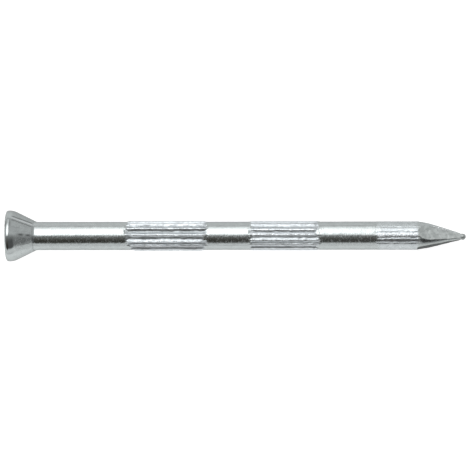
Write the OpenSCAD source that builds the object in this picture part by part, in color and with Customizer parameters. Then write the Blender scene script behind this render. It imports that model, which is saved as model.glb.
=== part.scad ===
// Masonry nail: zinc-plated hardened wire with a countersunk head, three
// straight-knurled bands and a four-sided pinched point.
// It lies along +X. The origin is the centre of the flat struck face.

/* [Wire] */
// Length from the struck face to the end of the point
nail_len = 60; // [56:1:80]
// Diameter of the plain wire
wire_d = 3.7; // [3.5:0.05:3.9]

/* [Head] */
// Diameter of the head
head_d = 6.7; // [6:0.1:8]
// Rounding of the edge around the struck face
rim_r = 0.4; // [0.2:0.05:0.6]
// Straight width of the rim behind that rounding
rim_land = 0.1; // [0.05:0.05:0.4]
// Radius that blends the rim into the cone
blend_r = 2; // [1:0.1:2.4]
// Angle between the side of the cone and the axis
cone_angle = 26.4; // [22:0.2:32]
// Fillet where the cone meets the wire
neck_r = 0.9; // [0.6:0.1:2]

/* [Knurls] */
// Number of ridges around each band
ridges = 16; // [12:1:20]
// Turn of the first ridge about the axis, in degrees
ridge_turn = -3.5; // [-20:0.5:20]
// Length over which each ridge and groove runs out into plain wire
run_out = 0.8; // [0.4:0.1:1.5]
// Start of the upper band, from the struck face
upper_at = 15.35; // [10:0.05:16]
// Length of the upper band
upper_len = 11.1; // [8:0.1:12]
// Height of the upper band's ridges above the wire
upper_rise = 0.125; // [0.05:0.005:0.2]
// Start of the middle band, from the struck face
middle_at = 31.5; // [30:0.1:34]
// Length of the middle band
middle_len = 9.6; // [6:0.1:10]
// Height of the middle band's ridges above the wire
middle_rise = 0.075; // [0.05:0.005:0.2]
// Depth of the upper and middle bands' grooves below the wire
groove_depth = 0.13; // [0.08:0.01:0.2]
// Flat width of the upper and middle bands' ridges, in degrees
ridge_land = 5; // [3:0.5:8]
// Length of the lower band, which ends at the point
lower_len = 5.75; // [4:0.05:8]
// Height of the lower band's ridges above the wire
lower_rise = 0.04; // [0.02:0.005:0.1]
// Depth of the lower band's grooves below the wire
lower_depth = 0.06; // [0.04:0.01:0.12]
// Flat width of the lower band's ridges, in degrees
lower_land = 13; // [8:0.5:14]

/* [Point] */
// Length of the point
point_len = 6.4; // [5.5:0.1:8]
// Turn of the four flats about the axis, in degrees
flat_turn = -19; // [-45:1:45]
// Angle between each flat and the axis
flat_angle = 13; // [11:0.2:14]
// Width across the flats at the very end
end_width = 0.46; // [0.3:0.01:0.5]
// Hollow radius where each flat leaves the round wire
heel_r = 2; // [1.5:0.1:3]
// Distance from the start of the point to the straight part of a flat
heel_len = 0.8; // [0.6:0.05:1.2]
// Swell radius of the rounded corners between the flats
swell_r = 7.6; // [6.5:0.1:9]
// Angle at which the swelling corners run straight
swell_angle = 16.6; // [15:0.2:18]
// Diameter of the blunt nub at the end
nub_d = 0.68; // [0.5:0.02:0.8]

/* [Hidden] */
$fn = 96;

zinc = [0.74, 0.76, 0.77];
knurled_zinc = [0.80, 0.82, 0.84];
pinched_zinc = [0.66, 0.68, 0.69];

wire_r = wire_d / 2;
head_r = head_d / 2;

// The widest circle of the head is where the heading punch met the gripping dies
rim_at = rim_r + rim_land;
// Where the blend ends and the straight side of the cone starts, as [radius, place]
cone_top = [head_r - blend_r * (1 - cos(cone_angle)), rim_at + blend_r * sin(cone_angle)];
// Where the cone's side would meet the wire with no fillet
corner_at = cone_top[1] + (cone_top[0] - wire_r) / tan(cone_angle);
// The fillet touches the cone and the wire this far from that corner
neck_reach = neck_r * tan(cone_angle / 2);
cone_end = [wire_r + neck_reach * sin(cone_angle), corner_at - neck_reach * cos(cone_angle)];
neck_end = corner_at + neck_reach;

point_at = nail_len - point_len;
lower_at = point_at - lower_len;

// Where the swelling corners run straight, as [radius, place]
swell_end = [wire_r - swell_r * (1 - cos(swell_angle)), point_at + swell_r * sin(swell_angle)];
nub_at = nail_len - nub_d / 2;
nub_corner_r = swell_end[0] - (nub_at - swell_end[1]) * tan(swell_angle);
// Straight part of a flat, as [place, height]
heel_at = point_at + heel_len;
flat_start = [heel_at, end_width / 2 + (nail_len - heel_at) * tan(flat_angle)];
// The cutters reach this far past the metal that they remove
past = 1;
// The grooves of the star reach this far under the core, so the core rounds their floors
under = 0.05;

// Turns a [radius, place] outline about the nail's axis
module turned() {
    rotate([90, 0, 90]) rotate_extrude() children();
}

module plain_wire(start, end) {
    translate([start, 0, 0]) rotate([0, 90, 0]) cylinder(h = end - start, r = wire_r);
}

// Outline of a band that ramps from the wire to radius r and back
function band_outline(len, r) = [
    [0, 0], [wire_r, 0], [r, run_out], [r, len - run_out], [wire_r, len], [0, len]
];

// Section through the ridges: two corners on each crest and one in each groove
function ridge_section(crest_r, root_r, land) = [
    for (i = [0 : ridges - 1], k = [0 : 2])
        let (turn = (i + [0, 0, 0.5][k]) * 360 / ridges + ridge_turn + [-land, land, 0][k] / 2,
             r = [crest_r, crest_r, root_r][k])
        [r * cos(turn), r * sin(turn)]
];

module knurl(start, len, rise, depth, land) {
    crest_r = wire_r + rise;
    root_r = wire_r - depth;
    translate([start, 0, 0]) {
        turned() polygon(band_outline(len, root_r));
        intersection() {
            turned() polygon(band_outline(len, crest_r));
            rotate([90, 0, 90])
                linear_extrude(len)
                    polygon(ridge_section(crest_r + under, root_r - under, land));
        }
    }
}

// Struck face and the rounded edge around it
module head_face() {
    color(zinc) turned() intersection() {
        union() {
            square([head_r - rim_r, rim_at]);
            translate([0, rim_r]) square([head_r, rim_land]);
            translate([head_r - rim_r, rim_r]) circle(rim_r);
        }
        square([head_r, rim_at]);
    }
}

// Countersunk underside, from the widest circle to the plain wire
module head_cone() {
    color(zinc) turned() difference() {
        union() {
            polygon([[0, rim_at], [head_r, rim_at], cone_top, cone_end, [wire_r, neck_end],
                     [0, neck_end]]);
            intersection() {
                translate([head_r - blend_r, rim_at]) circle(blend_r);
                translate([0, rim_at]) square([head_r, blend_r]);
            }
        }
        translate([wire_r + neck_r, neck_end]) circle(neck_r);
    }
}

module upper_shank() {
    color(zinc) plain_wire(neck_end, upper_at);
}

module upper_knurl() {
    color(knurled_zinc) knurl(upper_at, upper_len, upper_rise, groove_depth, ridge_land);
}

module middle_shank() {
    color(zinc) plain_wire(upper_at + upper_len, middle_at);
}

module middle_knurl() {
    color(knurled_zinc) knurl(middle_at, middle_len, middle_rise, groove_depth, ridge_land);
}

module lower_shank() {
    color(zinc) plain_wire(middle_at + middle_len, lower_at);
}

module lower_knurl() {
    color(knurled_zinc) knurl(lower_at, lower_len, lower_rise, lower_depth, lower_land);
}

// Metal that one pinching die pushes away above a flat
module flat_cutter() {
    rotate([90, 0, 0]) linear_extrude(2 * wire_d, center = true) {
        polygon([flat_start,
                 [nail_len + past, flat_start[1] - (nail_len + past - heel_at) * tan(flat_angle)],
                 [nail_len + past, wire_d], [heel_at, wire_d]]);
        translate(flat_start + heel_r * [sin(flat_angle), cos(flat_angle)]) circle(heel_r);
    }
}

// Four flats on a swelling taper, with a blunt nub where the waste broke away
module point() {
    color(pinched_zinc) {
        difference() {
            turned() union() {
                polygon([[0, point_at], [wire_r, point_at], swell_end, [nub_corner_r, nub_at],
                         [0, nub_at]]);
                intersection() {
                    translate([wire_r - swell_r, point_at]) circle(swell_r);
                    translate([0, point_at]) square([wire_r, swell_end[1] - point_at]);
                }
            }
            for (i = [0 : 3]) rotate([flat_turn + 90 * i, 0, 0]) flat_cutter();
        }
        translate([nub_at, 0, 0]) sphere(d = nub_d);
    }
}

head_face();
head_cone();
upper_shank();
upper_knurl();
middle_shank();
middle_knurl();
lower_shank();
lower_knurl();
point();
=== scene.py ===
"""A zinc-plated masonry nail lying on a white sheet, built around its CAD frame.

Every stretch of the nail is one closed mesh of rings about the X axis. Lengths in this script are
millimetres and angles are degrees unless a name or a comment says otherwise; skin() turns them into
metres.
"""
import math

import bpy
import numpy as np
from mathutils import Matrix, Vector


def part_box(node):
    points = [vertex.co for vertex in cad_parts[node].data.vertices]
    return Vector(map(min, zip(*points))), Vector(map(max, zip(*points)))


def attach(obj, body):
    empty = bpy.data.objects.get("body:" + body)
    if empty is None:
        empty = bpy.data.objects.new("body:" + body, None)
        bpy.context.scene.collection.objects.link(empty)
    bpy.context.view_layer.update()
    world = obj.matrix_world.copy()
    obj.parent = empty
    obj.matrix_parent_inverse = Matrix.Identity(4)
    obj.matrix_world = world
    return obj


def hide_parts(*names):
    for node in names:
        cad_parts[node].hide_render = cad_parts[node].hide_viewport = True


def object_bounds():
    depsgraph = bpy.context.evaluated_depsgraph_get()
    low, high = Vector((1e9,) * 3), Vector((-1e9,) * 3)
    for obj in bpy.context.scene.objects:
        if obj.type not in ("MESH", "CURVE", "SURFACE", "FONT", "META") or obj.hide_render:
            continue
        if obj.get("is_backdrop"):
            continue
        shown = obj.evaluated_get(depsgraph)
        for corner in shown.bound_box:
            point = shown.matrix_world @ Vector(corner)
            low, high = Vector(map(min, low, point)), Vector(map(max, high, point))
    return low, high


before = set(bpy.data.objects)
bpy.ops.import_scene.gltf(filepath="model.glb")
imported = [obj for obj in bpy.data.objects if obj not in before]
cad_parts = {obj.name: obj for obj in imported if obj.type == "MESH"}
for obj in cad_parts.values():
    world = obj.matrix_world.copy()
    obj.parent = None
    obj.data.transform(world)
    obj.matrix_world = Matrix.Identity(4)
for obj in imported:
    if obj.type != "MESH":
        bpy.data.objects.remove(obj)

MM = 0.001
TAU = 2 * math.pi
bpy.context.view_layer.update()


# ---------------------------------------------------------------- sizes

def reach(node):
    """First and last place of a node along the nail."""
    low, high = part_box(node)
    return low.x / MM, high.x / MM


def half_width(node):
    low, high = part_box(node)
    return (high.y - low.y) / 2 / MM


WIRE_R = half_width("upper_shank")
HEAD_R = half_width("head_face")

# Head, as in the CAD
RIM_R = 0.4
BLEND_R = 2.0
CONE_ANGLE = 26.4
NECK_R = 0.9
# How much smoother than drawn wire the punch and the dies leave the rim
POLISH = 0.6
# Struck face: how far back it sits, how much deeper the punch sinks it, its dents and its dish
FACE_BACK = 0.004
PUNCH_SINK = 0.010
DENT = 0.008
DISH = 0.03
# How uneven the rim around it and the cone are
RIM_GRAIN = 0.006
CONE_GRAIN = 0.004
# How much sooner the neck comes on the upper side, and the rows that make up for it
NECK_SHIFT = 0.32
NECK_ROWS = 4
# How much deeper the upper side falls away just behind the widest circle
SHARPER_RIM = 0.045
# Painted shade that dims the top of the rim's highlight: where it lies, in degrees, how far round
# that reaches, in radians, and how dark it is
RIM_SHADE_AT = 60
RIM_SHADE_SPREAD = 0.17
RIM_SHADE = 0.5
# The two lines where the gripping dies met: their turns, and the height that each stands up
PARTING_LINES = ((44, 0.028), (224, 0.022))
# Width of those lines, and the wear on them: how strong it is, and its width
LINE_WIDTH = 0.10
LINE_WEAR = (0.8, 0.11)
# Darkening along the two feet of each line: where it lies beside the line, its width and how dark it
# is
LINE_FEET = ((0.30, 0.12, 0.65), (-0.34, 0.14, 0.845))
# How dull the half between those lines on the +Y side is
DULL_HALF = 0.22
# Plainest scuffs on the cone: turn, place from the widest circle, length, width and depth
PLAIN_SCUFFS = ((86.3, 1.8, 0.42, 0.16, 0.024), (87.8, 2.8, 0.40, 0.16, 0.023),
                (76, 2.3, 0.8, 0.07, 0.004))
# Fainter scuffs: how many, and the least and most of their lengths, widths and depths
FAINT_SCUFFS = 26
FAINT_LENGTH = (0.3, 0.9)
FAINT_WIDTH = (0.03, 0.08)
FAINT_DEPTH = (0.002, 0.008)
# Share of a scuff's depth that is cut into the metal, and how dark a millimetre of depth looks
SCUFF_CUT = 0.3
SCUFF_DIRT = 40
# The fine line round the neck: its depth, its width, and the painted shade that darkens it in the
# crease
NECK_LINE_DEPTH = 0.006
NECK_LINE_WIDTH = 0.08
NECK_LINE_SHADE = 0.35

# Faint relief of drawn and plated wire: seed, height, cell along the nail, and cells around it
DIE_LINES = ((1, 0.0016, 12, 52), (2, 0.0007, 7, 128))
ORANGE_PEEL = ((3, 0.0036, 0.50, 24), (4, 0.0012, 0.27, 44))
# How much smoother the burnished side is, and the cosine of the turn at which that is reached
BURNISH = 0.24
BURNISH_EDGE = 0.25

# Knurls, as in the CAD
RIDGES = 16
RIDGE_TURN = -3.5
# Rounding of a ridge's shoulders, of its flanks' feet and of a groove's floor
CREST_ROUND = 0.03
FOOT_ROUND = 0.015
FLOOR_ROUND = 0.02
# How a ridge varies along its length: by how much, and the mm from one change to the next. The
# wander is in mm and the rest are shares
SLOW_WANDER = (0.009, 1.1)
QUICK_WANDER = (0.014, 0.28)
TOP_RIPPLE = (0.12, 0.4)
SLOPE_RIPPLE = (0.18, 0.6)
BEADS = (1, 0.32)
# What a full bead adds to its ridge's land and to the depth of the groove beside it, as shares
BEAD_LAND = 0.4
BEAD_FLOOR = 0.1
# Mean height of a crest and mean depth of a floor, as shares of the band's rise and depth
MEAN_TOP = 0.90
MEAN_FLOOR = 0.9
# The turn at which a band's ridges start soonest
SOONEST_AT = 60
# Plain wire left at each end of a band, and how far its relief takes to begin
BAND_MARGIN = 0.05
BAND_TAPER = 0.12
# How far inside a band, from 0 to 1, a spot counts as fully rolled
ROLLED_BY = 0.625
# Where a one-sided band bites deepest, in degrees, and how far round that reaches, in radians
DEEP_SIDE = 88
DEEP_SPREAD = 0.38
# Where a band's dark line of painted reflection runs along it, in degrees, and its width
DARK_LINE_AT = 109.5
DARK_LINE_WIDTH = 0.075

# Point, as in the CAD
FLAT_TURN = -19
FLAT_ANGLE = 13
END_WIDTH = 0.46
HEEL_R = 2.0
HEEL_LEN = 0.8
SWELL_R = 7.6
SWELL_ANGLE = 16.6
# Least radius of the taper between the flats
LEAST_R = 0.3
# How far round from its middle a flat can reach
FLAT_REACH = 80
# Middle of the metal between the first pair of flats, and how much sharper its edge is far out
FIRST_EDGE = FLAT_TURN + 135
SHARPER_EDGE = 0.04
# How dark the painted shade on that metal near its start is, and half its width in degrees
STRIP_SHADE = 0.8
STRIP_WIDTH = 12
# How much a flat's heel curves away on its first side, in mm for a mm across it
HEEL_SKEW = 0.5
# How much sooner each flat's heel starts than in the CAD
HEEL_EARLY = (0, 0.25, 0, 0)
# Marks of the shearing dies on a flat: depth, cell along the nail, and cell across the flat
FINE_SHEAR = (0.008, 0.16, 1.3)
COARSE_SHEAR = (0.020, 0.45, 0.35)
# Flash: the turns where the two pinching dies met, and its height and width
FLASH_TURNS = (FLAT_TURN + 58, FLAT_TURN + 238)
FLASH_HEIGHT = 0.055
FLASH_WIDTH = 0.08
# Ball at the very end, a little fuller than the CAD's: its radius, and how much slimmer its neck is
BALL_R = 0.41
BALL_NECK = 0.02
# How frosted and how dirty the break leaves the ball
BALL_FROST = 0.8
BALL_DIRT = 0.25
# How far the tip leans towards -Y
TIP_LEAN = 0.17

# Mesh density: 24 segments to a ridge, and the most that rows stand apart on each kind of stretch
SEGMENTS = RIDGES * 24
WIRE_STEP = 0.12
BAND_STEP = 0.08
POINT_STEP = 0.05
turn = np.arange(SEGMENTS) * TAU / SEGMENTS  # radians, from +Y towards +Z


# ---------------------------------------------------------------- small maths

def smooth(t):
    """0 below 0, 1 above 1, and a smooth step between them."""
    t = np.clip(t, 0, 1)
    return t * t * (3 - 2 * t)


def bell(off, width):
    """1 where off is 0, and nearly 0 beyond twice the width."""
    return np.exp(-(off / width) ** 2)


def softer_max(a, b, round_off):
    return (a + b + np.sqrt((a - b) ** 2 + round_off ** 2)) / 2


def softer_min(a, b, round_off):
    return (a + b - np.sqrt((a - b) ** 2 + round_off ** 2)) / 2


def apart(angle, degrees):
    """Signed angle from a direction, in radians, between -pi and pi."""
    return (angle - math.radians(degrees) + math.pi) % TAU - math.pi


def lattice(seed, u, v, wrap=None):
    """Smooth random values between -1 and 1, one knot to each unit of u and v."""
    u, v = np.broadcast_arrays(u, v)
    rows = int(u.max()) + 2
    columns = wrap or int(v.max()) + 2
    knots = np.random.default_rng(seed).uniform(-1, 1, (rows, columns))
    row = np.floor(u).astype(int)
    column = np.floor(v).astype(int)
    down = smooth(u - row)
    across = smooth(v - column)
    left, right = column % columns, (column + 1) % columns
    near = knots[row, left] * (1 - across) + knots[row, right] * across
    far = knots[row + 1, left] * (1 - across) + knots[row + 1, right] * across
    return near * (1 - down) + far * down


def grain(seed, along, cell, around):
    """lattice() wrapped about the nail: features cell mm long, and so many of them around."""
    return lattice(seed, along / cell, turn[None, :] / TAU * around, around)


def vary(seed, along, size, cell):
    """Smooth random change along the nail, with one knot every cell mm."""
    return size * lattice(seed, along / cell, 0)


def drawn_surface(along):
    """Die lines and the faint orange peel of plated wire, in mm. It's the same on every stretch."""
    return sum(height * grain(seed, along, cell, around)
               for seed, height, cell, around in DIE_LINES + ORANGE_PEEL)


def burnish():
    """How much smoother rubbing has left the wire's +Y side, as a share taken off worked."""
    return BURNISH * smooth(np.cos(turn) / BURNISH_EDGE)


# ---------------------------------------------------------------- meshes

def ring_faces(rows):
    """Faces between rings of SEGMENTS points, closed by a fan to one more point at each end.

    Returns the point of every corner, and the number of corners of every face.
    """
    here = np.arange(SEGMENTS)
    after = (here + 1) % SEGMENTS
    start = np.arange(rows - 1)[:, None] * SEGMENTS
    quads = np.stack([start + here, start + after, start + SEGMENTS + after,
                      start + SEGMENTS + here], axis=2).reshape(-1, 4)
    last = (rows - 1) * SEGMENTS
    first_centre, last_centre = rows * SEGMENTS, rows * SEGMENTS + 1
    first_cap = np.stack([after, here, np.full(SEGMENTS, first_centre)], axis=1)
    last_cap = np.stack([last + here, last + after, np.full(SEGMENTS, last_centre)], axis=1)
    corners = np.concatenate([quads.ravel(), first_cap.ravel(), last_cap.ravel()])
    sizes = np.concatenate([np.full(len(quads), 4), np.full(2 * SEGMENTS, 3)])
    return corners, sizes


def skin(name, along, radius, marks, sideways=0.0):
    """Closed mesh from rings: along and radius are rows of SEGMENTS values in mm."""
    along = np.broadcast_to(along, radius.shape)
    rows = radius.shape[0]
    rings = np.stack([along, radius * np.cos(turn) + sideways, radius * np.sin(turn)], axis=2)
    ends = rings[[0, -1]].mean(axis=1)
    points = np.concatenate([rings.reshape(-1, 3), ends]) * MM
    corners, sizes = ring_faces(rows)

    mesh = bpy.data.meshes.new(name)
    mesh.vertices.add(len(points))
    mesh.vertices.foreach_set("co", points.ravel())
    mesh.loops.add(len(corners))
    mesh.loops.foreach_set("vertex_index", corners)
    mesh.polygons.add(len(sizes))
    mesh.polygons.foreach_set("loop_start", np.cumsum(sizes) - sizes)
    mesh.update(calc_edges=True)

    # The caps meet the sides at a sharp edge, so that the sides shade straight on to the next stretch
    edges = np.zeros(len(mesh.edges) * 2, int)
    mesh.edges.foreach_get("vertices", edges)
    ring_of = edges.reshape(-1, 2) // SEGMENTS
    sharp = np.all(ring_of == 0, axis=1) | np.all(ring_of == rows - 1, axis=1)
    mesh.edges.foreach_set("use_edge_sharp", sharp)
    mesh.polygons.foreach_set("use_smooth", np.ones(len(sizes), bool))
    for mark, values in marks.items():
        flat = np.concatenate([np.broadcast_to(values, radius.shape).ravel(), [0, 0]])
        mesh.attributes.new(mark, "FLOAT", "POINT").data.foreach_set("value", flat)
    mesh.validate()
    piece = bpy.data.objects.new(name, mesh)
    bpy.context.scene.collection.objects.link(piece)
    return piece


def places(start, end, step):
    """Rows from start to end, no further apart than step."""
    return np.linspace(start, end, int(math.ceil((end - start) / step)) + 1)[:, None]


def turned(outline, lift):
    """Rings from an outline of [place, radius, normal along, normal out] rows, lifted along it."""
    place, radius, out_x, out_r = (column[:, None] for column in np.array(outline).T)
    return place + lift * out_x, radius + lift * out_r


def arc(centre, radius, start, end, steps):
    """Outline rows on an arc. Angles are degrees from +X towards the outside."""
    rows = []
    for angle in np.radians(np.linspace(start, end, steps + 1)):
        out_x, out_r = math.cos(angle), math.sin(angle)
        rows.append([centre[0] + radius * out_x, centre[1] + radius * out_r, out_x, out_r])
    return rows


def straight(start, end, normal, steps):
    """Outline rows from after start up to end."""
    return [[start[0] + (end[0] - start[0]) * k / steps, start[1] + (end[1] - start[1]) * k / steps,
             *normal] for k in range(1, steps + 1)]


# ---------------------------------------------------------------- the head

def rim_wobble():
    """How far the widest circle of the head falls short of round, in mm. It's always below 0."""
    return -0.008 + 0.004 * np.sin(3 * turn + 0.7) + 0.002 * np.sin(7 * turn + 2.0)


def rim_painted_shade():
    """How dark the painted shade on the rim, which dims the top of its highlight, is at each turn."""
    return RIM_SHADE * bell(apart(turn, RIM_SHADE_AT), RIM_SHADE_SPREAD)


def head_face():
    """Struck face and the rounded rim around it."""
    start, end = reach("head_face")
    face_r = HEAD_R - RIM_R
    innermost = (start, 0.02)
    centre = (start + RIM_R, face_r)
    outline = [[*innermost, -1, 0]]
    outline += straight(innermost, (start, face_r), (-1, 0), 60)
    outline += arc(centre, RIM_R, 180, 90, 16)[1:]
    outline += straight((centre[0], HEAD_R), (end, HEAD_R), (0, 1), 3)
    outline = np.array(outline)
    place, radius = outline[:, :1], outline[:, 1:2]

    y = radius * np.cos(turn) + HEAD_R
    z = radius * np.sin(turn) + HEAD_R
    dents = lattice(21, y / 0.9, z / 0.9) + 0.5 * lattice(22, y / 0.35, z / 0.35)
    punched = smooth((HEAD_R - radius) / 0.5)
    dish = DISH * (1 - (radius / HEAD_R) ** 2)
    lift = -FACE_BACK - (PUNCH_SINK + DENT * dents) * punched - dish
    lift = lift + RIM_GRAIN * grain(23, place + 1, 0.6, 40) * (1 - punched)
    lift = lift * smooth((end - place) / 0.12) + rim_wobble()
    along, ring_r = turned(outline, lift)
    on_face = smooth((face_r - radius) / 0.3)
    # dip on the rim is painted shade that dims the top of its highlight
    marks = {"worked": 1.1 * on_face - POLISH, "dip": rim_painted_shade() * (1 - on_face), "crest": 0}
    return skin("punched_head", along, ring_r, marks)


def cone_outline(start, end):
    """Outline of the blend, the cone and the fillet, and the place where the fillet starts."""
    side = math.radians(CONE_ANGLE)
    normal = (math.sin(side), math.cos(side))
    blend = (start, HEAD_R - BLEND_R)
    fillet = (end, WIRE_R + NECK_R)
    blend_end = (blend[0] + BLEND_R * normal[0], blend[1] + BLEND_R * normal[1])
    neck = (fillet[0] - NECK_R * normal[0], fillet[1] - NECK_R * normal[1])
    outline = arc(blend, BLEND_R, 90, 90 - CONE_ANGLE, 24)
    outline += straight(blend_end, neck, normal, 46)
    hollow = arc(fillet, NECK_R, 270 - CONE_ANGLE, 270, 18)[1:]
    outline += [[x, r, -out_x, -out_r] for x, r, out_x, out_r in hollow]
    outline += [outline[-1]] * NECK_ROWS
    return np.array(outline), neck[0]


def parting_lines(radius):
    """Height of the raised lines that the gripping dies left, the darkening along their feet, and
    their wear.
    """
    lift, dirt, wear = 0, 0, 0
    for degrees, height in PARTING_LINES:
        off = apart(turn, degrees)[None, :] * radius
        lift = lift + height * bell(off, LINE_WIDTH)
        feet = sum(dark * bell(off - beside, width) for beside, width, dark in LINE_FEET)
        dirt = np.maximum(dirt, feet)
        wear = np.maximum(wear, LINE_WEAR[0] * bell(off, LINE_WEAR[1]))
    return lift, dirt, wear


def cone_scuffs(place, radius, start, end):
    """Depth of the scuffs that the dies left as they closed: all together, and the deepest."""
    rng = np.random.default_rng(32)
    scuffs = [(degrees, start + beyond, *shape) for degrees, beyond, *shape in PLAIN_SCUFFS]
    for _ in range(FAINT_SCUFFS):
        degrees, middle = rng.uniform(0, 360), rng.uniform(start + 0.8, end - 0.5)
        scuffs.append((degrees, middle, rng.uniform(*FAINT_LENGTH), rng.uniform(*FAINT_WIDTH),
                       rng.uniform(*FAINT_DEPTH)))
    together, deepest = 0, 0
    for degrees, middle, length, width, depth in scuffs:
        off = apart(turn, degrees)[None, :] * radius
        scuff = depth * bell(off, width) * bell(place - middle, length)
        together = together + scuff
        deepest = np.maximum(deepest, scuff)
    return together, deepest


def head_cone():
    """Countersunk underside, from the widest circle to the plain wire."""
    start, end = reach("head_cone")
    outline, neck_at = cone_outline(start, end)
    place, radius = outline[:, :1], outline[:, 1:2]

    # The dies bit deeper on the upper side, so the neck comes a little sooner there
    upper_side = np.maximum(np.sin(turn), 0)
    share = np.clip((place - start) / (neck_at - start), 0, 1)
    share[-NECK_ROWS:, 0] = np.linspace(1, 0, NECK_ROWS + 1)[1:]
    sooner = NECK_SHIFT * share * np.sqrt(upper_side)

    lift = drawn_surface(place - sooner) + CONE_GRAIN * grain(31, place, 1.1, 14)
    lift = lift * smooth((place - start) / 0.3)
    sharper = smooth((place - start) / 0.5) * smooth((neck_at - place) / 2.0)
    lift = lift - SHARPER_RIM * sharper * upper_side
    lift = lift + rim_wobble() * (1 - smooth((place - start) / 0.6))

    fade = smooth((place - start - 0.2) / 0.5) * smooth((neck_at - place) / 0.3 + 0.5)
    line_height, line_dirt, line_wear = parting_lines(radius)
    dull_side = 0.5 - 0.5 * np.tanh(np.sin(apart(turn, PARTING_LINES[0][0]))[None, :] * radius / 0.2)
    # The rim's painted shade, fading out onto the cone
    rim_shade = rim_painted_shade() * (1 - smooth((place - start - 0.1) / 0.5))
    together, deepest = cone_scuffs(place, radius, start, end)
    # A fine line round the neck, where the dies' mouth ends. Its dark tone is painted shade in the
    # crease
    ring = bell(place - neck_at - 0.02, NECK_LINE_WIDTH)

    lift = lift + fade * line_height - SCUFF_CUT * together - NECK_LINE_DEPTH * ring
    # Darkening of the tone: painted shade on the rim and at the neck, a darker +Y half, darker feet
    # beside the parting lines, and dark scuffs
    dirt = np.maximum(DULL_HALF * fade * dull_side + rim_shade, fade * line_dirt)
    dirt = np.maximum(np.maximum(dirt, SCUFF_DIRT * deepest), NECK_LINE_SHADE * ring)
    polished = POLISH * (1 - smooth((place - start - 0.4) / 0.8))
    polished = np.maximum(polished, burnish() * smooth((place - neck_at) / 0.3))
    along, ring_r = turned(outline, lift)
    marks = {"worked": 0.10 * fade - polished, "dip": dirt, "crest": fade * line_wear}
    return skin("pressed_cone", along - sooner, ring_r, marks)


# ---------------------------------------------------------------- the shank

def plain_wire(name, node):
    start, end = reach(node)
    along = places(start, end, WIRE_STEP)
    radius = WIRE_R + drawn_surface(along)
    return skin(name, along, radius, {"worked": -burnish(), "dip": 0, "crest": 0})


def ragged_ends(rng, along, band, degrees):
    """Rises from 0 to 1 along a band and back, starting and stopping at ragged places."""
    late = band["lag"] * (1 - math.cos(math.radians(degrees - SOONEST_AT))) / 2
    begin = BAND_MARGIN + late + band["ragged"] * rng.uniform(0, 1) ** 2
    stop = BAND_MARGIN + band["ragged"] * rng.uniform(0, 1) ** 2
    return (smooth((along - band["start"] - begin) / band["run_out"])
            * smooth((band["end"] - along - stop) / band["run_out"]))


def ridges(along, band):
    """Height above the wire, and how far inside the band each spot is, from 0 to 1.

    Each ridge and each groove has its own ends, and its crest wanders a little.
    """
    rise, depth = band["rise"], band["depth"]
    pitch = TAU / RIDGES
    rng = np.random.default_rng(band["seed"])
    height = np.full((len(along), SEGMENTS), -depth * 2.0)
    floor = np.zeros_like(height)
    inside = np.zeros_like(height)
    for ridge in range(RIDGES):
        degrees = RIDGE_TURN + ridge * 360 / RIDGES + band["askew"].get(ridge, 0)
        seed = band["seed"] + ridge
        wander = vary(seed + 100, along, *SLOW_WANDER) + vary(seed + 400, along, *QUICK_WANDER)
        beads = vary(seed + 200, along, *BEADS)
        half_land = band["land"] / 2 * (1 + BEAD_LAND * beads)
        top = rise * (MEAN_TOP + vary(seed + 300, along, *TOP_RIPPLE))
        top = top * ragged_ends(rng, along, band, degrees)
        off = np.abs(apart(turn, degrees)[None, :] * WIRE_R + wander)
        away = np.sqrt(np.maximum(off - half_land, 0) ** 2 + CREST_ROUND ** 2) - CREST_ROUND
        steep = band["slope"] * (1 + vary(seed + 500, along, *SLOPE_RIPPLE))
        height = softer_max(height, top - away * steep, FOOT_ROUND)

        groove = ragged_ends(rng, along, band, degrees + 180 / RIDGES)
        even = RIDGE_TURN + (ridge + 0.5) * 360 / RIDGES
        own = np.abs(apart(turn, even))[None, :] <= pitch / 2 + 1e-6
        floor = np.where(own, -depth * groove * (MEAN_FLOOR + BEAD_FLOOR * beads), floor)
        inside = np.where(own, groove, inside)
    # Rounding lifts the feet of the ridges by up to half of it, so the band goes down by that much
    height = softer_max(height, floor, FLOOR_ROUND) - FOOT_ROUND / 2
    taper = (smooth((along - band["start"]) / BAND_TAPER)
             * smooth((band["end"] - along) / BAND_TAPER))
    bite = 1 - band["one_sided"] * (1 - bell(apart(turn, DEEP_SIDE), DEEP_SPREAD))
    height = np.minimum(height * taper * bite, rise)
    inside = inside * taper * bite
    chatter = grain(band["seed"] + 1, along, 0.22, 96) + 0.7 * grain(band["seed"] + 2, along, 0.7, 64)
    chatter = band["chatter"] * chatter * taper * np.maximum(inside, 0.2)
    return np.minimum(height + chatter, rise), inside


def band_marks(height, inside, band):
    """How rolling left each spot of a band, for its material, with darker grooves and a dark line of
    painted reflection.
    """
    # The grooves get darker, the deeper they are
    groove_dirt = band["dirt"] * np.clip(-height / band["depth"], 0, 1)
    # A dark line of painted reflection along the band
    painted_dark_line = band["painted_dark_line"] * bell(apart(turn, DARK_LINE_AT) * WIRE_R, DARK_LINE_WIDTH)
    rolled_part = smooth(inside / ROLLED_BY)
    return {
        "worked": rolled_part - burnish() * (1 - rolled_part),
        "dip": np.maximum(groove_dirt, painted_dark_line) * rolled_part,
        "crest": np.clip(height / band["rise"], 0, 1) ** 2 * rolled_part,
    }


def band_of(node, runs_on=0, one_sided=0, painted_dark_line=0, askew=None, **shape):
    """A band's shape: depth, land, chatter, lag, ragged, run_out and runs_on in mm, and its slope.

    askew gives the degrees by which some ridges miss their even places, and one_sided is the share
    of the relief that is missing opposite its deep side. Two more values say how much darker the
    grooves get and how dark the band's line of painted reflection is.
    """
    start, end = reach(node)
    return {"start": start, "end": end + runs_on, "rise": half_width(node) - WIRE_R,
            "one_sided": one_sided, "painted_dark_line": painted_dark_line, "askew": askew or {}, **shape}


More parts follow.
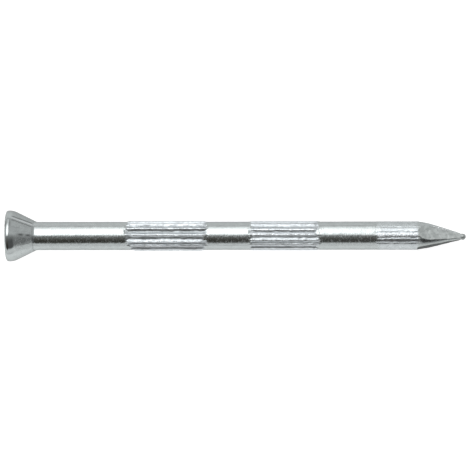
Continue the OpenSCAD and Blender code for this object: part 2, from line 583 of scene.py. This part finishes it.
def knurl(name, node, band):
    start, end = reach(node)
    along = places(start, end, BAND_STEP)
    height, inside = ridges(along, band)
    radius = WIRE_R + drawn_surface(along) + height
    return skin(name, along, radius, band_marks(height, inside, band))


# ---------------------------------------------------------------- the point

def swelling_taper(along, start):
    """Radius between the flats: an arc that leaves the wire, then a straight taper."""
    swell = math.radians(SWELL_ANGLE)
    swell_at = start + SWELL_R * math.sin(swell)
    swell_r = WIRE_R - SWELL_R * (1 - math.cos(swell))
    curved = WIRE_R - SWELL_R + np.sqrt(SWELL_R ** 2 - np.minimum(along - start, SWELL_R) ** 2)
    tapered = swell_r - (along - swell_at) * math.tan(swell)
    return np.maximum(np.where(along < swell_at, curved, tapered), LEAST_R)


def flat_level(along, start, end):
    """Height of a flat above the axis: hollow at its heel, then straight."""
    flat = math.radians(FLAT_ANGLE)
    heel_at = start + HEEL_LEN
    heel = END_WIDTH / 2 + (end - heel_at) * math.tan(flat)
    centre = (heel_at + HEEL_R * math.sin(flat), heel + HEEL_R * math.cos(flat))
    reach_back = np.clip(centre[0] - along, 0, HEEL_R)
    hollow = centre[1] - np.sqrt(HEEL_R ** 2 - reach_back ** 2)
    level = np.where(along < heel_at, hollow, END_WIDTH / 2 + (end - along) * math.tan(flat))
    return np.where(along < centre[0] - HEEL_R, 2 * WIRE_R, level)


def shear_marks(seed, along, width, depth, cell, cell_across):
    """Marks of a shearing die on a flat, where width is the distance from the flat's middle."""
    return depth * lattice(seed, along / cell, (width + 3) / cell_across)


def cut_flats(body, along, start, end):
    """The body with its four flats cut. Also how much each spot lies on a flat, and how much
    painted reflection darkens it at a flat's edge.

    The heels of the flats curve away on one side.
    """
    radius = body
    on_flat = np.zeros_like(body)
    painted_dark_edge = np.zeros_like(body)
    for k in range(4):
        off = apart(turn, FLAT_TURN + 90 * (k + 1))[None, :]
        across = np.abs(off) < math.radians(FLAT_REACH)
        cosine = np.where(across, np.cos(off), 1)
        width = body * np.sin(off)
        early = HEEL_EARLY[k] * (1 - smooth((along - start - HEEL_LEN) / (2 * HEEL_LEN)))
        level = flat_level(along + early - HEEL_SKEW * np.maximum(-width, 0) ** 2, start, end)
        shear = shear_marks(50 + k, along, width, *FINE_SHEAR)
        shear = shear + shear_marks(60 + k, along, width, *COARSE_SHEAR)
        cut = np.where(across, (level + shear) / cosine, 9)
        this_flat = smooth((body - cut) / 0.04 + 0.4) * across
        on_flat = np.maximum(on_flat, this_flat)
        # The far edge of every second flat is darkened: a painted reflection of the shaded sheet
        # beneath
        if k % 2:
            painted_dark_edge = np.maximum(painted_dark_edge, this_flat * smooth((width + 0.30) / 0.3))
        radius = softer_min(radius, cut, 0.02)
    return radius, on_flat, painted_dark_edge


def flash_beads(along, radius, start, end):
    """Height of the beads of flash squeezed out where the two pinching dies met."""
    lumps = np.maximum(0, 0.4 + 1.1 * grain(70, along, 0.20, 30))
    stretch = smooth((along - start - 1.6) / 0.8) * smooth((end - 1.2 - along) / 0.8)
    lines = sum(bell(apart(turn, degrees)[None, :] * radius, FLASH_WIDTH) for degrees in FLASH_TURNS)
    return FLASH_HEIGHT * lumps * stretch * lines


def with_ball(radius, along, nub_at):
    """The radius with the slight neck and the ball that were left where the waste broke off."""
    ball = np.sqrt(np.maximum(BALL_R ** 2 - (along - nub_at) ** 2, 0))
    nub = np.where(along > nub_at, ball, np.maximum(ball, BALL_R - BALL_NECK))
    near_ball = smooth((along - nub_at + 0.42) / 0.18)
    return radius * (1 - near_ball) + nub * near_ball


def point(band):
    """Four flats on a swelling taper, with the last band's ridges running on to it."""
    start, end = reach("point")
    nub_at = end - BALL_R
    taper = places(start, nub_at, POINT_STEP)
    round_end = arc((nub_at, 0), BALL_R, 86, 2, 14)
    along = np.concatenate([taper, np.array(round_end)[:, :1]])

    # The first pair of flats meets in a sharper edge beyond its heels
    height, inside = ridges(along, band)
    off_edge = apart(turn, FIRST_EDGE)[None, :]
    body = swelling_taper(along, start) + height
    body = body + SHARPER_EDGE * smooth((along - start - 2.4) / 1.6) * bell(off_edge, 0.3)
    radius, on_flat, painted_dark_edge = cut_flats(body, along, start, end)

    # Painted shade darkens the metal between the first pair of flats near its start
    strip = bell(off_edge, math.radians(STRIP_WIDTH)) * smooth((along - start - 0.1) / 0.7)
    strip = strip * (1 - smooth((along - start - 2.0) / 2.0))
    dirt = np.maximum(painted_dark_edge, STRIP_SHADE * strip * (1 - on_flat))

    flash = flash_beads(along, radius, start, end)
    finish = drawn_surface(along) * (1 - on_flat) * smooth((nub_at - along) / 0.5)
    radius = with_ball(radius + flash + finish, along, nub_at)

    marks = band_marks(height, inside, band)
    marks["worked"] = np.maximum(on_flat, marks["worked"])
    marks["dip"] = np.maximum(dirt, marks["dip"] * (1 - on_flat))
    marks["crest"] = np.maximum(np.clip(flash / 0.03, 0, 1.5), marks["crest"] * (1 - on_flat))
    on_ball = smooth((along - nub_at + 0.25) / 0.1)
    marks["worked"] = marks["worked"] * (1 - on_ball) + BALL_FROST * on_ball
    marks["dip"] = marks["dip"] * (1 - on_ball) + BALL_DIRT * on_ball
    # Half of a smooth step, doubled, leans the tip ever further up to its end
    lean = -TIP_LEAN * 2 * smooth((along - start) / (end - start) / 2)
    return skin("pinched_point", along, radius, marks, lean)


# ---------------------------------------------------------------- materials

# How much of a metal's usual brightening towards grazing angles is left: the dimmer edges are
# painted shade, standing in for the shaded sheet that they reflect
EDGE_SHADE_TINT = 0.6
# Plain plate: its tones, and its roughness
PLATE_BRIGHT = (0.415, 0.445, 0.445)
PLATE_DULL = (0.370, 0.396, 0.396)
SHEEN = 0.19
# Noise at which the mottling has its dull tone, and at which it has its bright one
MOTTLED = (0.30, 0.68)
# How strongly the dark dots between crystals show, and how bright a spot darkest with dirt and
# painted shade still is
DOTS = 0.4
DIRT_AND_SHADE_BRIGHT = 0.25
# Tone of a worn crest, and how much of it shows
WORN = (0.80, 0.82, 0.84, 1)
WORN_SHARE = 0.45
# What the mottling and the specks add to the roughness, and the share of frost that wear takes off
MOTTLE_ROUGH = 0.16
SPECK_ROUGH = 0.20
WORN_SMOOTH = 0.8

# The sheet: how white it is, its glow on the -Y and +Y sides, and how soon one meets the other
SHEET_WHITE = 0.5
NEAR_GLOW = 0.92
FAR_GLOW = 0.68
GLOW_EDGE = 1.5
# The glow starts to fade this far out, has faded this far out, and then keeps this share
BRIGHT_R = 50.0
DIM_R = 200.0
DIM_GLOW = 0.6
# How much wider the edge between the two glows gets for each mm beyond the bright part
EDGE_GROWTH = 1.6


class Nodes:
    """Short calls for building one node tree."""

    def __init__(self, tree):
        self.tree = tree
        tree.nodes.clear()

    def add(self, kind, **settings):
        node = self.tree.nodes.new(kind)
        for key, value in settings.items():
            setattr(node, key, value)
        return node

    def join(self, output, target):
        self.tree.links.new(output, target)

    def feed(self, target, value):
        if isinstance(value, bpy.types.NodeSocket):
            self.join(value, target)
        else:
            target.default_value = value

    def maths(self, operation, *values, clamp=False):
        node = self.add("ShaderNodeMath", operation=operation, use_clamp=clamp)
        for socket, value in zip(node.inputs, values):
            self.feed(socket, value)
        return node.outputs[0]

    def stretch(self, value, low, high):
        """0 at low and 1 at high, level outside them."""
        return self.maths("MULTIPLY_ADD", value, 1 / (high - low), -low / (high - low), clamp=True)

    def ramp(self, value, stops):
        """Colour or level at each value, from stops of (value, colour or level)."""
        node = self.add("ShaderNodeValToRGB")
        while len(node.color_ramp.elements) < len(stops):
            node.color_ramp.elements.new(0.5)
        for element, (place, level) in zip(node.color_ramp.elements, stops):
            element.position = place
            element.color = (*level, 1) if isinstance(level, tuple) else (level, level, level, 1)
        self.feed(node.inputs[0], value)
        return node.outputs[0]

    def noise(self, coordinates, scale, detail, per_axis=(1, 1, 1)):
        """Noise with a scale in features to the millimetre, times per_axis along X, Y and Z."""
        mapping = self.add("ShaderNodeMapping")
        mapping.inputs["Scale"].default_value = [scale / MM * share for share in per_axis]
        self.join(coordinates, mapping.inputs["Vector"])
        node = self.add("ShaderNodeTexNoise")
        node.inputs["Scale"].default_value = 1.0
        node.inputs["Detail"].default_value = detail
        self.join(mapping.outputs[0], node.inputs["Vector"])
        return node.outputs["Fac"]

    def blend_colours(self, factor, a, b, mode="MIX"):
        node = self.add("ShaderNodeMix", data_type="RGBA", blend_type=mode)
        self.feed(node.inputs[0], factor)
        self.feed(node.inputs[6], a)
        self.feed(node.inputs[7], b)
        return node.outputs[2]


def zinc_tone(n, mottle, crystals, marks, bright, dull):
    """Mottled plate or worked metal, with dots between crystals, dirt, painted shade and worn crests.
    """
    plain_tone = n.ramp(mottle, list(zip(MOTTLED, (PLATE_DULL, PLATE_BRIGHT))))
    worked_tone = n.ramp(mottle, list(zip(MOTTLED, (dull, bright))))
    share = n.maths("MULTIPLY", marks["worked"], 1.0, clamp=True)
    tone = n.blend_colours(share, plain_tone, worked_tone)
    dots = n.ramp(crystals, [(0.34, 0.80), (0.46, 1.0)])
    tone = n.blend_colours(DOTS, tone, dots, "MULTIPLY")
    # dip darkens the tone: real dirt in places, painted shade and painted reflection in others
    shade = n.ramp(marks["dip"], [(0.0, 1.0), (1.0, DIRT_AND_SHADE_BRIGHT)])
    tone = n.blend_colours(1.0, tone, shade, "MULTIPLY")
    return n.blend_colours(n.maths("MULTIPLY", marks["crest"], WORN_SHARE), tone, WORN)


def zinc_roughness(n, mottle, specks, marks, frost):
    """Smooth plate, frosted where it is worked and smooth again on worn crests."""
    rough = n.maths("MULTIPLY_ADD", marks["worked"], frost - SHEEN, SHEEN)
    rough = n.maths("MULTIPLY_ADD", n.maths("SUBTRACT", mottle, 0.5), MOTTLE_ROUGH, rough)
    # The specks are dull, except where the plate is polished
    unpolished = n.stretch(marks["worked"], -0.4, 0.0)
    grains = n.maths("MULTIPLY", n.stretch(specks, 0.52, 0.66), unpolished)
    rough = n.maths("MULTIPLY_ADD", grains, SPECK_ROUGH, rough)
    worn_smooth = (SHEEN - frost) * WORN_SMOOTH
    return n.maths("MULTIPLY_ADD", marks["crest"], worn_smooth, rough, clamp=True)


def zinc(name, bright, dull, frost, grit):
    """Zinc-plated steel: plain plate, with another tone and finish where tools worked it.

    worked and crest on the mesh say how the tools left each spot: worked is 1 on fully worked metal,
    0 on plain plate and less than 0 where it is polished or burnished, and crest is wear. dip darkens
    the tone: it is real dirt in some places, and painted shade and painted reflection in others.
    bright and dull are the tones of worked metal, frost is its roughness, and grit is the height of
    the bumps in mm.
    """
    material = bpy.data.materials.new(name)
    material.use_nodes = True
    n = Nodes(material.node_tree)
    place = n.add("ShaderNodeTexCoord").outputs["Object"]
    marks = {mark: n.add("ShaderNodeAttribute", attribute_name=mark).outputs["Fac"]
             for mark in ("worked", "dip", "crest")}
    mottle = n.noise(place, 1.6, 4.0)
    specks = n.noise(place, 3.8, 3.0, (1.3, 1, 1))
    lines = n.noise(place, 9.0, 2.0, (0.03, 1, 1))
    crystals = n.noise(place, 8.0, 2.0)

    tone = zinc_tone(n, mottle, crystals, marks, bright, dull)
    rough = zinc_roughness(n, mottle, specks, marks, frost)

    relief = n.maths("MULTIPLY_ADD", specks, 0.8, n.maths("MULTIPLY", lines, 0.2))
    frosting = n.maths("MULTIPLY_ADD", marks["worked"], 0.6, 0.2)
    relief = n.maths("MULTIPLY_ADD", crystals, frosting, relief)
    bump = n.add("ShaderNodeBump")
    bump.inputs["Strength"].default_value = 1.0
    bump.inputs["Distance"].default_value = grit * MM
    n.join(relief, bump.inputs["Height"])

    shader = n.add("ShaderNodeBsdfPrincipled")
    shader.inputs["Metallic"].default_value = 1.0
    # The dimmed grazing reflections are painted shade
    shader.inputs["Specular Tint"].default_value = (*[EDGE_SHADE_TINT] * 3, 1)
    n.join(tone, shader.inputs["Base Color"])
    n.join(rough, shader.inputs["Roughness"])
    n.join(bump.outputs[0], shader.inputs["Normal"])
    n.join(shader.outputs[0], n.add("ShaderNodeOutputMaterial").inputs[0])
    return material


def paper():
    """A white sheet that glows a little, brighter on the -Y side and dimmer far away."""
    material = bpy.data.materials.new("white_sheet")
    material.use_nodes = True
    n = Nodes(material.node_tree)
    place = n.add("ShaderNodeTexCoord").outputs["Object"]
    split = n.add("ShaderNodeSeparateXYZ")
    n.join(place, split.inputs[0])
    length = n.add("ShaderNodeVectorMath", operation="LENGTH")
    n.join(place, length.inputs[0])
    distance = length.outputs["Value"]

    beyond = n.maths("MAXIMUM", n.maths("SUBTRACT", distance, BRIGHT_R * MM), 0)
    edge = n.maths("MULTIPLY_ADD", beyond, EDGE_GROWTH, 2 * GLOW_EDGE * MM)
    side = n.maths("ADD", n.maths("DIVIDE", split.outputs["Y"], edge), 0.5, clamp=True)
    glow = n.maths("MULTIPLY_ADD", side, FAR_GLOW - NEAR_GLOW, NEAR_GLOW)
    faded = n.stretch(distance, BRIGHT_R * MM, DIM_R * MM)
    kept = n.maths("MULTIPLY_ADD", faded, DIM_GLOW - 1, 1)

    shader = n.add("ShaderNodeBsdfPrincipled")
    shader.inputs["Base Color"].default_value = (*[SHEET_WHITE] * 3, 1)
    shader.inputs["Roughness"].default_value = 0.9
    shader.inputs["Specular IOR Level"].default_value = 0.1
    shader.inputs["Emission Color"].default_value = (1, 1, 1, 1)
    n.join(n.maths("MULTIPLY", glow, kept), shader.inputs["Emission Strength"])
    n.join(shader.outputs[0], n.add("ShaderNodeOutputMaterial").inputs[0])
    return material


# ---------------------------------------------------------------- the nail

plate = zinc("bright_zinc", PLATE_BRIGHT, PLATE_DULL, frost=0.40, grit=0.009)
rolled = zinc("rolled_zinc", (0.59, 0.63, 0.65), (0.465, 0.50, 0.52), frost=0.36, grit=0.03)
pinched = zinc("pinched_zinc", (0.50, 0.53, 0.525), (0.34, 0.365, 0.36), frost=0.45, grit=0.03)

upper_band = band_of("upper_knurl", depth=0.13, land=0.05, slope=0.88, chatter=0.011, seed=400,
                     lag=0.9, ragged=0.5, run_out=0.6, dirt=0.55,
                     askew={1: -2, 2: -3, 3: -4.5, 4: 0, 5: 5, 6: 4.5, 7: 4})
middle_band = band_of("middle_knurl", depth=0.10, land=0.10, slope=0.70, chatter=0.008, seed=800,
                      lag=0.15, ragged=0.5, run_out=0.5, dirt=0.4,
                      askew={1: -3, 2: -3, 4: -1.5, 5: -1, 6: -2, 7: -2})
lower_band = band_of("lower_knurl", depth=0.045, land=0.36, slope=0.52, chatter=0.0035, seed=1200,
                     lag=0.1, ragged=0.4, run_out=0.6, dirt=0.4, runs_on=0.7, one_sided=0.7,
                     painted_dark_line=0.9, askew={4: 0.5, 5: 0.5})

pieces = [
    (head_face(), "head_face", "zinc_plate", plate),
    (head_cone(), "head_cone", "zinc_plate", plate),
    (plain_wire("drawn_wire_upper", "upper_shank"), "upper_shank", "zinc_plate", plate),
    (knurl("rolled_ridges_upper", "upper_knurl", upper_band), "upper_knurl", "knurled_zinc",
     rolled),
    (plain_wire("drawn_wire_middle", "middle_shank"), "middle_shank", "zinc_plate", plate),
    (knurl("rolled_ridges_middle", "middle_knurl", middle_band), "middle_knurl", "knurled_zinc",
     rolled),
    (plain_wire("drawn_wire_lower", "lower_shank"), "lower_shank", "zinc_plate", plate),
    (knurl("rolled_ridges_lower", "lower_knurl", lower_band), "lower_knurl", "knurled_zinc",
     rolled),
    (point(lower_band), "point", "pinched_zinc", pinched),
]
for piece, node, slot, material in pieces:
    piece.data.materials.append(material)
    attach(piece, "root")
    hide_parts(node)


# ---------------------------------------------------------------- floor, light and camera

# The sheet lies flat near the nail and sweeps up all round it, to hide its own edge
SHEET_R = 1500.0
SWEEP_FROM = 500.0
SWEEP_RISE = 170.0
SHEET_SIDES = 96
SHEET_RINGS = 30
# Strength of the brightest panel of the tent, and how far its edges turn along it, in degrees
SKY = 3.2
PANEL_SKEW = 60
# How far towards -X the panel's edges still turn, as the X of a direction
SKEW_UNTIL = -0.10
# The camera: its focal length and the sensor's width, its height, how far it is off the nail's
# middle along X and off its axis along Y, and its roll in degrees
LENS = 182.5
SENSOR = 36
EYE_HEIGHT = 311
EYE_OFF = (-0.14, 0.10)
EYE_ROLL = -0.07


def floor_sheet():
    """A round sheet that sweeps up far from the nail.

    The nail rests on the edge of its head and the last of its ridges, so the sheet leans.
    """
    rim_at, rest_at = RIM_R, reach("point")[0]
    rest_r = half_width("lower_knurl")
    lean = (HEAD_R - rest_r) / (rest_at - rim_at)
    around = np.linspace(0, TAU, SHEET_SIDES, endpoint=False)
    out = np.linspace(0, SHEET_R, SHEET_RINGS + 1)[1:, None]
    swept = SWEEP_RISE * np.maximum((out - SWEEP_FROM) / (SHEET_R - SWEEP_FROM), 0) ** 2
    x, y = out * np.cos(around), out * np.sin(around)
    rings = np.stack([x, y, -HEAD_R + (x - rim_at) * lean + swept], axis=2).reshape(-1, 3)
    middle = [0, 0, -HEAD_R - rim_at * lean]
    here = np.arange(SHEET_SIDES)
    after = (here + 1) % SHEET_SIDES
    faces = [(int(a) + 1, int(b) + 1, 0) for a, b in zip(here, after)]
    for ring in range(SHEET_RINGS - 1):
        near, far = 1 + ring * SHEET_SIDES, 1 + (ring + 1) * SHEET_SIDES
        faces += [(int(near + a), int(far + a), int(far + b), int(near + b))
                  for a, b in zip(here, after)]
    mesh = bpy.data.meshes.new("floor_sheet")
    mesh.from_pydata((np.vstack([middle, rings]) * MM).tolist(), [], faces)
    mesh.polygons.foreach_set("use_smooth", [True] * len(faces))
    sheet = bpy.data.objects.new("floor_sheet", mesh)
    bpy.context.scene.collection.objects.link(sheet)
    mesh.materials.append(paper())
    sheet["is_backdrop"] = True


def studio():
    """A white tent with one bright panel overhead and a dark gap beside it."""
    world = bpy.data.worlds.new("studio")
    bpy.context.scene.world = world
    world.use_nodes = True
    n = Nodes(world.node_tree)
    split = n.add("ShaderNodeSeparateXYZ")
    n.join(n.add("ShaderNodeTexCoord").outputs["Generated"], split.inputs[0])
    over = n.maths("ARCTAN2", split.outputs["Y"], split.outputs["Z"])
    share = n.maths("MULTIPLY_ADD", over, 1 / TAU, 0.5)
    lean = split.outputs["X"]
    # The panel's edges aren't quite parallel to the nail, up to its head
    up_to_head = n.maths("MAXIMUM", lean, SKEW_UNTIL)
    askew = n.maths("MULTIPLY_ADD", up_to_head, -PANEL_SKEW / 360, share)

    def round_the_nail(*stops, along=share):
        """Brightness at each angle from overhead, towards +Y, in degrees."""
        return n.ramp(along, [(0.5 + degrees / 360, level) for degrees, level in stops])

    middle = round_the_nail((-100, 0.36), (-63, 0.36), (-58, (0.019, 0.018, 0.015)),
                            (-33, (0.024, 0.0225, 0.019)), (-17, (0.056, 0.053, 0.047)),
                            (0, 0.10), (7, 0.25), (15, 1.0), (50, 1.0), (72, 0.50), (82, 0.39),
                            (92, 0.25), along=askew)
    flank = round_the_nail((-100, 0.36), (-66, 0.36), (-58, 0.05), (-22, 0.05), (-2, 0.13),
                           (14, 0.26), (90, 0.25))
    ends = round_the_nail((-100, 0.36), (-66, 0.36), (-56, 0.11), (-22, 0.11), (0, 0.16),
                          (14, 0.26), (90, 0.25))
    past_point = n.stretch(lean, 0.05, 0.13)
    past_head = n.stretch(lean, -0.34, -0.58)
    colour = n.blend_colours(n.maths("MAXIMUM", past_point, past_head), middle, flank)
    at_ends = n.stretch(n.maths("ABSOLUTE", lean), 0.55, 0.80)
    colour = n.blend_colours(at_ends, colour, ends)
    glow = n.add("ShaderNodeBackground")
    n.join(colour, glow.inputs["Color"])
    glow.inputs["Strength"].default_value = SKY
    n.join(glow.outputs[0], n.add("ShaderNodeOutputWorld").inputs[0])


def camera():
    """Straight down on the nail from about 300 mm, so its near rim bulges only a little."""
    low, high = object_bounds()
    middle = (low + high) / 2
    data = bpy.data.cameras.new("camera")
    data.sensor_width = SENSOR
    data.lens = LENS
    data.clip_start = 0.01
    data.clip_end = 20
    eye = bpy.data.objects.new("camera", data)
    bpy.context.scene.collection.objects.link(eye)
    eye.location = (middle.x + EYE_OFF[0] * MM, EYE_OFF[1] * MM, EYE_HEIGHT * MM)
    eye.rotation_euler = (0, 0, math.radians(EYE_ROLL))
    bpy.context.scene.camera = eye


floor_sheet()
studio()
camera()
bpy.context.scene.view_settings.view_transform = "Standard"
